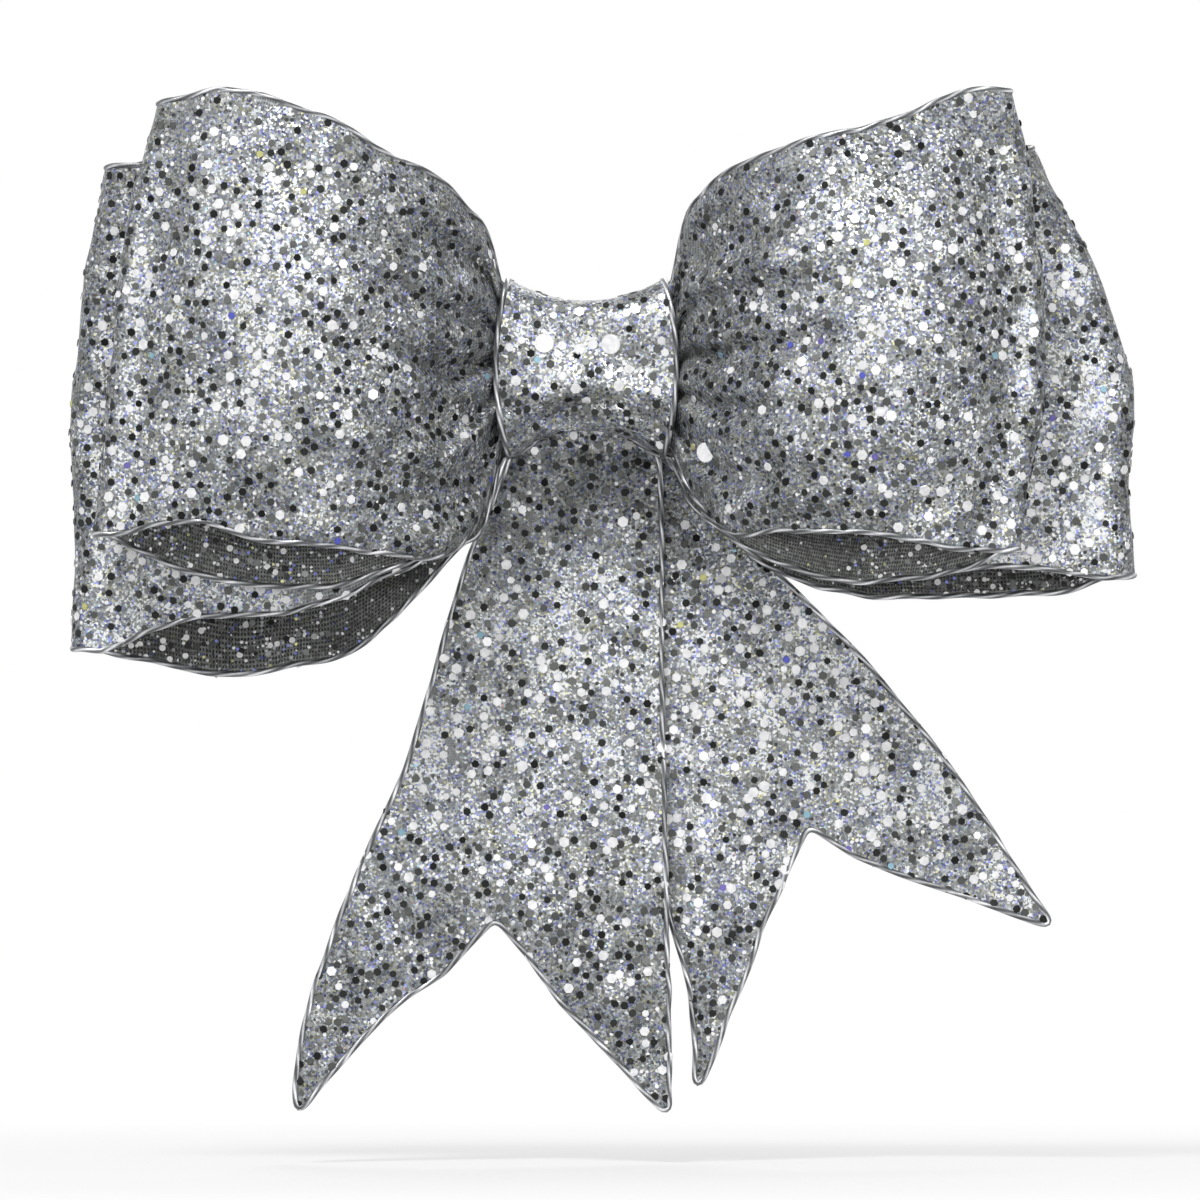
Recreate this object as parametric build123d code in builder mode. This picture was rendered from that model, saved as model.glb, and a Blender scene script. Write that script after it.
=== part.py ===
"""Pre-made gift bow of wired glitter ribbon: two pairs of loops, a knot band and two swallow-tail tails.

Frame: millimetres, +Z up, the bow faces -Y and +X is its right as seen from the front.
The origin is on the flat back of the knot band, level with the middle of the knot.

Layers from the back: the band's outer flap, the twist tie, the right tail, the left tail, the band's
ring with the gathered ribbons and their cinch wire inside it, and the loops that puff out in front.
"""

import math
import os

from build123d import *

os.makedirs("parts", exist_ok=True)

# Ribbon, its wired edge and the room between separate layers
ribbon_thickness = 0.8
edge_radius = 0.7
layer_gap = 0.4

# Twist tie
tie_width = 4.0
tie_thickness = 0.6
tie_leg_length = 60.0
tie_hinge_gap = 0.3

# Gathers, at the knot's middle and where they leave the band
gather_half_height = 11.0
gather_mid_height = -0.35
throat_reach = 18.6
throat_rise = 5.95
throat_drop = 6.25
throat_top = gather_mid_height + gather_half_height + throat_rise
throat_bottom = gather_mid_height - gather_half_height - throat_drop
lap_length = 6.0

# Cinch wire: turns wound round the gathers
cinch_wire = 0.5
cinch_turns = 3
cinch_pitch = 0.9
cinch_gap = 0.3
cinch_corner = 2.0
cinch_half_height = gather_half_height + edge_radius + cinch_gap + cinch_wire

# Knot band: ring with room above and below the cinch wire, whose rims flare from its waist, and the flap
# that closes it behind
waist_room_above = 1.05
waist_room_below = 1.25
band_half_width = 17.5
band_waist_top = gather_mid_height + cinch_half_height + waist_room_above + ribbon_thickness
band_waist_bottom = gather_mid_height - cinch_half_height - waist_room_below - ribbon_thickness
band_flare_top = 4.6
band_flare_bottom = 5.7
band_waist_front = -26.4
band_flare_front = 2.2
band_corner_power = 8
band_corners = 28
flap_half_width = 15.0
flap_overhang = 0.5
flap_half_height = gather_half_height + flap_overhang
glue_height = 4.0
glue_half_width = 11.0

# Tails
tail_neck_radius = 11.0
tail_neck_mid = -6.5
tail_curl_start = -20.0
tail_curl_span = 145.0
left_tail_curl = 9.0
right_tail_curl = 3.0
tip_radius = 0.9

# Stations along a layer of a loop, as shares of the way from the throat to the outer fold, and the
# stations across a fold, from its bottom edge to its top edge
shape_stations = (0, 0.04, 0.10, 0.32, 0.62, 0.85, 1)
height_stations = (-1, -0.5, 0, 0.5, 1)
run_stations = (0, 0.04, 0.09, 0.15, 0.22, 0.3, 0.39, 0.48, 0.57, 0.66, 0.75, 0.84, 0.92, 1)
fold_steps = 6
across = (-1, -0.75, -0.5, -0.25, 0, 0.25, 0.5, 0.75, 1)

# Depths of the layers behind the flap's outer face
tie_depth = -ribbon_thickness - layer_gap - tie_thickness / 2
right_tail_depth = tie_depth - tie_thickness / 2 - layer_gap - edge_radius
left_tail_depth = right_tail_depth - 2 * edge_radius - layer_gap
ring_back = left_tail_depth - edge_radius - layer_gap - edge_radius + ribbon_thickness / 2


def through(values, at, stations=shape_stations, level_end=False):
    """The smooth curve through one value per station, read at one place between them."""
    last = len(stations) - 1
    steps = [stations[i + 1] - stations[i] for i in range(last)]
    climbs = [(values[i + 1] - values[i]) / steps[i] for i in range(last)]
    slopes = [climbs[0]]
    for i in range(1, last):
        weighted = climbs[i - 1] * steps[i] + climbs[i] * steps[i - 1]
        slopes.append(weighted / (steps[i] + steps[i - 1]))
    slopes.append(0 if level_end else climbs[-1])
    i = max(k for k in range(last) if at >= stations[k])
    t = (at - stations[i]) / steps[i]
    rise = t * t * (3 - 2 * t)
    start_pull = t * (1 - t) ** 2 * steps[i] * slopes[i]
    end_pull = t * t * (1 - t) * steps[i] * slopes[i + 1]
    return values[i] + rise * (values[i + 1] - values[i]) + start_pull - end_pull


def rows_of_layer(loop, pair, layer):
    """Rows of points from the bottom edge to the top edge of one layer, throat first."""
    fold_radius = (pair["back_depth"][-1] - pair["front_depth"][-1]) / 2
    rows = []
    for share in run_stations:
        top = through(loop[layer + "_top"], share)
        bottom = through(loop[layer + "_bottom"], share)
        depth = through(pair[layer + "_depth"], share, level_end=True)
        bow = through(pair[layer + "_bow"], share, level_end=True)
        valley = through(pair[layer + "_valley"], share, level_end=True)
        row = []
        for w in across:
            reach = fold_reach(loop, w) - fold_radius
            x = throat_reach + (reach - throat_reach) * share
            y = depth + bow * w**2 + valley * max(0, 1 - 2 * abs(w))
            row.append(Vector(loop["side"] * x, y, height_at(top, bottom, w)))
        rows.append(row)
    return rows


def fold_reach(loop, w):
    """Distance of the outer fold from the knot's middle, w running from its bottom to its top."""
    return through(loop["fold_reach"], w, height_stations)


def height_at(top, bottom, w):
    return (top + bottom) / 2 + (top - bottom) / 2 * w


def rows_of_fold(loop, pair):
    """Rows round the outer fold, from the front layer to the back layer, without its two ends."""
    front, back = pair["front_depth"][-1], pair["back_depth"][-1]
    radius = (back - front) / 2
    rows = []
    for i in range(1, fold_steps):
        turn = math.pi * i / fold_steps
        row = []
        for w in across:
            x = fold_reach(loop, w) - radius + radius * math.sin(turn)
            y = (front + back) / 2 - radius * math.cos(turn)
            bow = pair["front_bow"][-1] * math.cos(turn / 2) ** 2
            bow += pair["back_bow"][-1] * math.sin(turn / 2) ** 2
            height = height_at(loop["front_top"][-1], loop["front_bottom"][-1], w)
            row.append(Vector(loop["side"] * x, y + bow * w**2, height))
        rows.append(row)
    return rows


def gather_row(x, y, half_height):
    return [Vector(x, y, gather_mid_height + half_height * w) for w in across]


def rows_of_strip(left, right, pair):
    """Rows of the whole strip: the left lap, the left loop, the crossing, the right loop, the right lap."""
    beside = throat_reach / 2
    middle = (gather_half_height + (throat_top - throat_bottom) / 2) / 2
    left_loop = rows_of_layer(left, pair, "front")
    left_loop += rows_of_fold(left, pair) + rows_of_layer(left, pair, "back")[::-1]
    right_loop = rows_of_layer(right, pair, "front")
    right_loop += rows_of_fold(right, pair) + rows_of_layer(right, pair, "back")[::-1]
    rows = [gather_row(lap_length, pair["left_lap"], gather_half_height)]
    rows += [gather_row(-beside, pair["left_lap"], gather_half_height)]
    rows += left_loop[::-1]
    rows += [gather_row(-beside, pair["crossing_side"], (middle + gather_half_height) / 2)]
    rows += [gather_row(0, pair["crossing"], gather_half_height)]
    rows += [gather_row(beside, pair["crossing_side"], (middle + gather_half_height) / 2)]
    rows += right_loop
    rows += [gather_row(beside, pair["right_lap"], gather_half_height)]
    rows += [gather_row(-lap_length, pair["right_lap"], gather_half_height)]
    return rows


def skin(rings):
    """The solid inside a row of closed rings of points, walled with flat triangles and capped at both ends."""
    faces = [Face(Wire.make_polygon(rings[0])), Face(Wire.make_polygon(rings[-1]))]
    for ring, ahead in zip(rings, rings[1:]):
        for i in range(len(ring)):
            after = (i + 1) % len(ring)
            faces.append(Face(Wire.make_polygon([ring[i], ring[after], ahead[i]])))
            faces.append(Face(Wire.make_polygon([ring[after], ahead[after], ahead[i]])))
    return Solid(Shell(faces))


def ribbon(rows):
    """A ribbon's thin wall, from rows of points that run across it from edge to edge."""
    rings = []
    for i, row in enumerate(rows):
        ahead = rows[min(i + 1, len(rows) - 1)]
        behind = rows[max(i - 1, 0)]
        along = ahead[len(row) // 2] - behind[len(row) // 2]
        sideways = Vector(-along.Y, along.X, 0).normalized()
        plane = Plane(origin=row[0], x_dir=sideways, z_dir=sideways.cross((row[-1] - row[0])))
        spots = [plane.to_local_coords(point) for point in row]
        half = ribbon_thickness / 2
        near = [plane.from_local_coords(Vector(spot.X - half, spot.Y)) for spot in spots]
        far = [plane.from_local_coords(Vector(spot.X + half, spot.Y)) for spot in spots]
        rings.append(near + far[::-1])
    return skin(rings)


def covered_wire(points):
    """A covered wire that follows a run of points, six-sided and turning at each of them."""
    rings = []
    side = Vector(0, 1, 0)
    for i, point in enumerate(points):
        ahead = points[min(i + 1, len(points) - 1)]
        behind = points[max(i - 1, 0)]
        along = (ahead - behind).normalized()
        side = (side - along * side.dot(along)).normalized()
        over = along.cross(side)
        turns = [math.pi * k / 3 for k in range(6)]
        rings.append([point + (side * math.cos(t) + over * math.sin(t)) * edge_radius for t in turns])
    return skin(rings)


# The front pair of loops, tilted up a little
front_pair = {
    "front_depth": (-24.8, -29.8, -37, -53, -58.5, -53, -46),
    "front_bow": (0, 1.7, 4, 7, 8, 5, 1),
    "front_valley": (2, 2.9, 4, 3, 0, 0, 0),
    "back_depth": (-18.6, -22.1, -27, -35, -37, -37.5, -38),
    "back_bow": (0, -0.4, -1, -2, -2, -1, 1),
    "back_valley": (0, 0, 0, 0, 0, 0, 0),
    "crossing": -22.4,
    "crossing_side": -23.4,
    "left_lap": -17.0,
    "right_lap": -15.6,
}
front_left = {
    "side": -1,
    "fold_reach": (105.5, 103.8, 101.3, 97.6, 92.2),
    "front_top": (throat_top, 27.5, 33, 43.7, 54.4, 58, 57),
    "front_bottom": (throat_bottom, -25.7, -36.5, -41, -38, -34.5, -38.5),
    "back_top": (throat_top, 20, 26, 38, 47, 52, 57),
    "back_bottom": (throat_bottom, -24, -33, -45.5, -48.5, -44, -38.5),
}
front_right = {
    "side": 1,
    "fold_reach": (93, 97, 98.5, 96.3, 91.6),
    "front_top": (throat_top, 30, 36.5, 45, 50.5, 56.7, 59.6),
    "front_bottom": (throat_bottom, -23.3, -31, -36.5, -37, -39.5, -41.5),
    "back_top": (throat_top, 20.5, 27, 36, 44, 51, 59.6),
    "back_bottom": (throat_bottom, -23.2, -31, -43, -47.5, -45, -41.5),
}

# The back pair of loops, larger and lower
back_pair = {
    "front_depth": (-15, -17.9, -22, -30.5, -32.5, -31, -28),
    "front_bow": (0, 0, 0, 2, 2, 1, 1),
    "front_valley": (0, 0, 0, 0, 0, 0, 0),
    "back_depth": (-10.6, -10.8, -11, -10, -10, -12, -16),
    "back_bow": (0, -0.8, -2, -5, -6, -3, 1),
    "back_valley": (0, 0, 0, 0, 0, 0, 0),
    "crossing": -13.4,
    "crossing_side": -13.8,
    "left_lap": -9.9,
    "right_lap": -8.7,
}
back_left = {
    "side": -1,
    "fold_reach": (110.8, 110.4, 111, 108.3, 103.2),
    "front_top": (throat_top, 20, 26, 38, 45, 45.5, 43.5),
    "front_bottom": (throat_bottom, -24, -33, -48, -55, -56.5, -63),
    "back_top": (throat_top, 18.2, 22, 30, 36, 40, 43.5),
    "back_bottom": (throat_bottom, -25.2, -36, -59.3, -66.7, -65.3, -63),
}
back_right = {
    "side": 1,
    "fold_reach": (118.8, 117.6, 117.2, 108.4, 96.4),
    "front_top": (throat_top, 20, 26, 37, 44, 47, 47.5),
    "front_bottom": (throat_bottom, -22.8, -30, -40, -44, -44.5, -47.5),
    "back_top": (throat_top, 18.2, 22, 30, 38, 44, 47.5),
    "back_bottom": (throat_bottom, -24.5, -34, -47.5, -51, -50, -47.5),
}

front_rows = rows_of_strip(front_left, front_right, front_pair)
back_rows = rows_of_strip(back_left, back_right, back_pair)

with BuildPart() as front_loop_ribbon:
    add(ribbon(front_rows), clean=False)
front_loop_ribbon.part.label = "front_loop_ribbon"
export_step(front_loop_ribbon.part, "parts/front_loop_ribbon.step")

with BuildPart() as back_loop_ribbon:
    add(ribbon(back_rows), clean=False)
back_loop_ribbon.part.label = "back_loop_ribbon"
export_step(back_loop_ribbon.part, "parts/back_loop_ribbon.step")

# Covered wires along the loops' edges; they stop short of the laps
for name, rows, edge in (
    ("front_loop_top_wire", front_rows, -1),
    ("front_loop_bottom_wire", front_rows, 0),
    ("back_loop_top_wire", back_rows, -1),
    ("back_loop_bottom_wire", back_rows, 0),
):
    with BuildPart() as loop_wire:
        add(covered_wire([row[edge] for row in rows[1:-1]]), clean=False)
    loop_wire.part.label = name
    export_step(loop_wire.part, f"parts/{name}.step")


# Knot band: a ring drawn in at its waist, with the flap that laps over the tails behind
def ring_point(x, turn, inset):
    """A point of the ring's wall; turn 0 is its back, and a quarter turn on is its top."""
    share = (x / band_half_width) ** 2
    top = band_waist_top + band_flare_top * share - inset
    bottom = band_waist_bottom - band_flare_bottom * share + inset
    front = band_waist_front - band_flare_front * share + inset
    back = ring_back - inset
    blunt = 2 / band_corner_power
    across_share = math.copysign(abs(math.cos(turn)) ** blunt, math.cos(turn))
    up_share = math.copysign(abs(math.sin(turn)) ** blunt, math.sin(turn))
    y = (back + front) / 2 + (back - front) / 2 * across_share
    z = (top + bottom) / 2 + (top - bottom) / 2 * up_share
    return y, z


def ring_walls(places, inset):
    """Closed outlines of the ring's wall at places along its width."""
    turns = [2 * math.pi * i / band_corners for i in range(band_corners)]
    return [[Vector(x, *ring_point(x, turn, inset)) for turn in turns] for x in places]


band_places = [band_half_width * i / 3 for i in range(-3, 4)]
bore_places = [-band_half_width - 1, *band_places[1:-1], band_half_width + 1]
with BuildPart() as knot_band:
    add(skin(ring_walls(band_places, 0)), clean=False)
    add(skin(ring_walls(bore_places, ribbon_thickness)), mode=Mode.SUBTRACT, clean=False)
    with BuildSketch(Plane.YZ.offset(-flap_half_width)):
        with BuildLine():
            Polyline(
                (0, flap_half_height),
                (0, -flap_half_height),
                (-ribbon_thickness, -flap_half_height),
                (-ribbon_thickness, flap_half_height - ribbon_thickness),
                (ring_back - 1.5 * ribbon_thickness, flap_half_height - ribbon_thickness),
                (ring_back - 1.5 * ribbon_thickness, flap_half_height),
                close=True,
            )
        make_face()
    extrude(amount=2 * flap_half_width, clean=False)
knot_band.part.label = "knot_band"
export_step(knot_band.part, "parts/knot_band.step")

# Covered wires along the band's two rims, open behind where the strip starts and ends
rim_steps = 36
rim_opening = 0.5
rim_lap = 0.2
for name, x in (("band_left_wire", -band_half_width), ("band_right_wire", band_half_width)):
    turn_step = (2 * math.pi - rim_opening + rim_lap) / rim_steps
    turns = [rim_opening + turn_step * i for i in range(rim_steps + 1)]
    spots = [ring_point(x, turn, ribbon_thickness / 2) for turn in turns]
    with BuildPart() as rim_wire:
        add(covered_wire([Vector(x, y, z) for y, z in spots]), clean=False)
    rim_wire.part.label = name
    export_step(rim_wire.part, f"parts/{name}.step")

# Glue between the ring and the flap, above the tails' necks
with BuildPart() as band_glue:
    glue_depth = -ring_back - ribbon_thickness
    glue_top = flap_half_height - ribbon_thickness
    with Locations((0, (ring_back - ribbon_thickness) / 2, glue_top - glue_height / 2)):
        Box(2 * glue_half_width, glue_depth, glue_height)
band_glue.part.label = "band_glue"
export_step(band_glue.part, "parts/band_glue.step")

# Cinch wire: its turns round both gathers, inside the ring
cinch_back = ring_back - ribbon_thickness - cinch_gap
cinch_front = front_pair["crossing"] - edge_radius - cinch_gap - cinch_wire
with BuildPart() as cinch:
    for turn in range(cinch_turns):
        offset_x = (turn - (cinch_turns - 1) / 2) * cinch_pitch - cinch_wire / 2
        with BuildSketch(Plane.YZ.offset(offset_x)):
            with Locations(((cinch_back + cinch_front) / 2, gather_mid_height)):
                RectangleRounded(cinch_back - cinch_front, 2 * cinch_half_height, cinch_corner)
                RectangleRounded(
                    cinch_back - cinch_front - 2 * cinch_wire,
                    2 * cinch_half_height - 2 * cinch_wire,
                    cinch_corner - cinch_wire,
                    mode=Mode.SUBTRACT,
                )
        extrude(amount=cinch_wire)
cinch.part.label = "cinch_wire"
export_step(cinch.part, "parts/cinch_wire.step")

# Twist tie: its middle runs under the flap, and its two legs bend back from the band's sides
tie_bridge_half = band_half_width + edge_radius + layer_gap
with BuildPart() as tie_bridge:
    with Locations((0, tie_depth, 0)):
        Box(2 * tie_bridge_half, tie_thickness, tie_width)
tie_bridge.part.label = "tie_bridge"
export_step(tie_bridge.part, "parts/tie_bridge.step")

tie_axis_reach = tie_bridge_half + tie_hinge_gap + tie_thickness / 2
for name, side in (("tie_leg_left", -1), ("tie_leg_right", 1)):
    with BuildPart() as tie_leg:
        with BuildSketch(Plane.XY.offset(-tie_width / 2)):
            with Locations((side * tie_axis_reach, tie_depth)):
                Circle(tie_thickness / 2)
            with Locations((side * (tie_axis_reach + tie_leg_length / 2), tie_depth)):
                Rectangle(tie_leg_length, tie_thickness)
        extrude(amount=tie_width)
    tie_leg.part.label = name
    export_step(tie_leg.part, f"parts/{name}.step")


# Tails: flat strips cut with a V, curling a little forward of the band's back as they hang
def tail_depth(depth, curl, z):
    hang = max(0, tail_curl_start - z)
    return depth - curl * (hang / tail_curl_span) ** 2


def rounded_corner(before, corner, after, radius, steps=4):
    """Points of the arc that rounds a corner of an outline."""
    arrive = (Vector(*before) - Vector(*corner)).normalized()
    leave = (Vector(*after) - Vector(*corner)).normalized()
    half_angle = math.acos(max(-1, min(1, arrive.dot(leave)))) / 2
    middle = Vector(*corner) + (arrive + leave).normalized() * (radius / math.sin(half_angle))
    start = Vector(*corner) + arrive * (radius / math.tan(half_angle)) - middle
    sweep_angle = math.pi - 2 * half_angle
    direction = 1 if arrive.cross(leave).Z < 0 else -1
    points = []
    for i in range(steps + 1):
        spot = middle + start.rotate(Axis.Z, direction * math.degrees(sweep_angle) * i / steps)
        points.append((spot.X, spot.Y))
    return points


def tail_outline(outer_edge, outer_tip, outer_cut, notch, inner_cut, inner_tip, inner_edge):
    """The wired edge of a tail, from its neck down one side, round the V and up the other."""
    outline = list(outer_edge)
    outline += rounded_corner(outer_edge[-1], outer_tip, outer_cut[0], tip_radius)
    outline += outer_cut
    outline += rounded_corner(outer_cut[-1], notch, inner_cut[0], tip_radius)
    outline += inner_cut
    outline += rounded_corner(inner_cut[-1], inner_tip, inner_edge[0], tip_radius)
    outline += inner_edge
    return outline


def neck_arch(side):
    """The rounded top of a tail's neck, from the end of its outline back to the start."""
    turns = [math.pi * i / 12 for i in range(1, 12)]
    return [
        (-side * tail_neck_radius * math.cos(turn), tail_neck_mid + tail_neck_radius * math.sin(turn))
        for turn in turns
    ]


neck_left = (-tail_neck_radius, tail_neck_mid)
neck_right = (tail_neck_radius, tail_neck_mid)
left_outline = tail_outline(
    outer_edge=[
        neck_left, (-16.6, -20.5), (-21.5, -33), (-25.5, -42), (-29.8, -56),
        (-34.2, -72), (-39.1, -88), (-46.1, -103), (-52.7, -118), (-58.5, -134), (-62.6, -150),
    ],
    outer_tip=(-63.2, -164),
    outer_cut=[(-52, -150), (-43.5, -141.5), (-38, -137), (-31, -132.5)],
    notch=(-20, -120.4),
    inner_cut=[(-12.5, -128.8), (-5.8, -138.4), (4.3, -149)],
    inner_tip=(18.2, -164),
    inner_edge=[(17.9, -146), (17.3, -116), (16.8, -90), (16.3, -62), (16.4, -38), (16, -22), neck_right],
)
right_outline = tail_outline(
    outer_edge=[
        neck_right, (17, -20.5), (27, -31), (38, -42), (52, -56), (60.7, -64.8), (67.7, -73.4),
        (74.8, -82), (81, -90.6), (86.7, -99.3), (92.2, -108),
    ],
    outer_tip=(102.2, -123.2),
    outer_cut=[(81.4, -115.5), (68.7, -111.2), (58, -106.8)],
    notch=(48.2, -100.3),
    inner_cut=[(43, -112), (40.3, -118), (36, -129.2), (30.7, -142)],
    inner_tip=(23.5, -161.2),
    inner_edge=[(23.6, -145), (22.4, -135), (18.6, -122), (14, -100), (6, -75), (-3, -50), (-10, -30), neck_left],
)


def tail_shape(outline, side, grow):
    """A tail's outline as a flat face, made larger or smaller all round."""
    with BuildSketch(Plane.XZ) as shape:
        with BuildLine():
            Polyline(*outline, *neck_arch(side), close=True)
        make_face()
        offset(amount=grow, kind=Kind.INTERSECTION)
    return shape.sketch


def hanging_layer(depth, curl, lowest, thickness):
    """The side view of a layer that hangs from the knot and curls forward."""
    levels = [2 * tail_neck_radius, tail_curl_start]
    levels += [tail_curl_start + (lowest - tail_curl_start) * i / 8 for i in range(1, 9)]
    near = [(tail_depth(depth, curl, z) - thickness / 2, z) for z in levels]
    far = [(tail_depth(depth, curl, z) + thickness / 2, z) for z in levels]
    with BuildSketch(Plane.YZ) as layer:
        with BuildLine():
            Polyline(*near, *far[::-1], close=True)
        make_face()
    return layer.sketch


for name, outline, side, depth, curl in (
    ("left_tail", left_outline, -1, left_tail_depth, left_tail_curl),
    ("right_tail", right_outline, 1, right_tail_depth, right_tail_curl),
):
    lowest = min(z for x, z in outline) - 4 * edge_radius
    widest = max(abs(x) for x, z in outline) + 4 * edge_radius
    foremost = 2 * edge_radius - tail_depth(depth, curl, lowest)
    with BuildPart() as tail:
        extrude(tail_shape(outline, side, -edge_radius), amount=foremost)
        extrude(
            hanging_layer(depth, curl, lowest, ribbon_thickness),
            amount=widest,
            both=True,
            mode=Mode.INTERSECT,
        )
    tail.part.label = name
    export_step(tail.part, f"parts/{name}.step")

    with BuildPart() as tail_wire:
        with BuildSketch(Plane.XZ) as rim:
            add(tail_shape(outline, side, edge_radius))
            add(tail_shape(outline, side, -edge_radius), mode=Mode.SUBTRACT)
            with Locations((0, tail_neck_mid + 1.5 * tail_neck_radius)):
                Rectangle(3 * tail_neck_radius, 3 * tail_neck_radius, mode=Mode.SUBTRACT)
        extrude(amount=foremost)
        extrude(
            hanging_layer(depth, curl, lowest, 2 * edge_radius),
            amount=widest,
            both=True,
            mode=Mode.INTERSECT,
        )
    tail_wire.part.label = name + "_wire"
    export_step(tail_wire.part, f"parts/{name}_wire.step")
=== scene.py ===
import math
import random

import bmesh
import bpy
from mathutils import Matrix, Vector, noise


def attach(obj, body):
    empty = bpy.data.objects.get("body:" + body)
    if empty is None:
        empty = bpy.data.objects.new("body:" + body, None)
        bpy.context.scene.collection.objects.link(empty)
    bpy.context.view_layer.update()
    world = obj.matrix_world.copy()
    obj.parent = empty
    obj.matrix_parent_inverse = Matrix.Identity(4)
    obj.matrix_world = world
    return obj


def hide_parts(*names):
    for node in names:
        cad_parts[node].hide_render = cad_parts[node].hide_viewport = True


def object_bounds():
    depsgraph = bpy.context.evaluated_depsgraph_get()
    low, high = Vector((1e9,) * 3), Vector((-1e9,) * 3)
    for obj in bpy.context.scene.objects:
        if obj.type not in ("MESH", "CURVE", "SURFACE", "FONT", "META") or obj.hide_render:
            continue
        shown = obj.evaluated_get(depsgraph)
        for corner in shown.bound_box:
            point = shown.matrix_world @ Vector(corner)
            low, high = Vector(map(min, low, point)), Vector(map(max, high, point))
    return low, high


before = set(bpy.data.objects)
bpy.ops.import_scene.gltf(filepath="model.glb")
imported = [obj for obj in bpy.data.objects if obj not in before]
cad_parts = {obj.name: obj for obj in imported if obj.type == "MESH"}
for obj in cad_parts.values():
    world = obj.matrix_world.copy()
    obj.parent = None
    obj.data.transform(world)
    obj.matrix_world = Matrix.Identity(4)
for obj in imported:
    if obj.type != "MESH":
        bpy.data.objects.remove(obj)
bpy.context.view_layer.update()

# ------------------------------ Front pair of loops
# One strip of wired net ribbon, a hundred millimetres wide, laid in two loops that meet under the band.
# Its middle and its two ends are drawn up in pleats at the knot, and it opens out to two full bellies.
# Glitter is glued to the outer side only, so the hollows show the bare woven net.
MM = 0.001
ribbon_width = 100.0
ribbon_thickness = 0.5
throat_reach = 18.6
throat_top = 16.6
throat_bottom = -17.6
gather_half_height = 10.4
gather_mid_height = -0.35
lap_length = 6.0
pleat_run = 80
pleat_growth = 7
pleat_fade = 0.2
main_pleats, minor_pleats, minor_pleat_share = 5.2, 9.4, 0.35
knot_pleat_share = 0.3
free_run = 14
wave_span, wave_depth = 19, 1.2
wrinkle_span, wrinkle_depth = 7, 0.4
edge_begins, edge_zone = 0.8, 0.2
shape_stations = (0, 0.04, 0.10, 0.32, 0.62, 0.85, 1)
height_stations = (-1, -0.5, 0, 0.5, 1)
# The waves of the cloth start from this number, so that every run gives the same bow.
noise.seed_set(1795398904)

front_pair = {
    "front_depth": (-24.8, -29.8, -37, -53, -58.5, -53, -46),
    "front_bow": (2.6, 3, 4, 7, 8, 5, 1),
    "front_valley": (2, 2.9, 4, 3, 0, 0, 0),
    "back_depth": (-18.6, -22.1, -27, -35, -37, -37.5, -38),
    "back_bow": (0, -0.4, -1, -2, -2, -1, 1),
    "crossing": -22.4,
    "lap": -16.6,
    "layer_length": 95.0,
    "pleat_depth": 1.5,
    "left": {
        "fold_reach": (105.5, 103.8, 101.3, 97.6, 92.2),
        "front_top": (throat_top, 27.5, 33, 43.7, 54.4, 58, 57),
        "front_bottom": (throat_bottom, -29.5, -38.5, -41, -38, -34.5, -38.5),
        "back_top": (throat_top, 20, 26, 38, 47, 52, 57),
        "back_bottom": (throat_bottom, -24, -33, -45.5, -48.5, -44, -38.5),
    },
    "right": {
        "fold_reach": (93, 97, 98.5, 96.3, 91.6),
        "front_top": (throat_top, 30, 36.5, 45, 50.5, 56.7, 59.6),
        "front_bottom": (throat_bottom, -25.5, -32, -36.5, -37, -39.5, -41.5),
        "back_top": (throat_top, 20.5, 27, 36, 44, 51, 59.6),
        "back_bottom": (throat_bottom, -23.2, -31, -43, -47.5, -45, -41.5),
    },
}


def through(values, at, stations=shape_stations, level_end=False):
    """The smooth curve through one value per station, read at one place between them."""
    last = len(stations) - 1
    steps = [stations[i + 1] - stations[i] for i in range(last)]
    climbs = [(values[i + 1] - values[i]) / steps[i] for i in range(last)]
    slopes = [climbs[0]]
    for i in range(1, last):
        weighed = climbs[i - 1] * steps[i] + climbs[i] * steps[i - 1]
        slopes.append(weighed / (steps[i] + steps[i - 1]))
    slopes.append(0 if level_end else climbs[-1])
    i = max(k for k in range(last) if at >= stations[k])
    t = (at - stations[i]) / steps[i]
    rise = t * t * (3 - 2 * t)
    start_pull = t * (1 - t) ** 2 * steps[i] * slopes[i]
    end_pull = t * t * (1 - t) * steps[i] * slopes[i + 1]
    return values[i] + rise * (values[i + 1] - values[i]) + start_pull - end_pull


def fold_reach(loop, w):
    return through(loop["fold_reach"], w, height_stations)


def between(bottom, top, w):
    return (top + bottom) / 2 + (top - bottom) / 2 * w


def fold_radius(pair):
    return (pair["back_depth"][-1] - pair["front_depth"][-1]) / 2


def half_strip(pair):
    """Length of ribbon from the knot's middle to the end of one lap."""
    return 2 * throat_reach + 2 * pair["layer_length"] + math.pi * fold_radius(pair) + lap_length


def pleats(pair, away, w, start):
    """How far the gathers push the ribbon forward or back, away from the knot and across its width."""
    open_share = max(0, away - throat_reach) / pleat_run
    depth = pair["pleat_depth"] * (1 + pleat_growth * open_share)
    depth *= math.exp(-((open_share / pleat_fade) ** 1.5))
    fan = w + 0.12 * math.sin(2.6 * w + start)
    main = math.cos(main_pleats * math.pi * fan + start)
    minor = math.cos(minor_pleats * math.pi * fan - start)
    return depth * (main + minor_pleat_share * minor)


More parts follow.
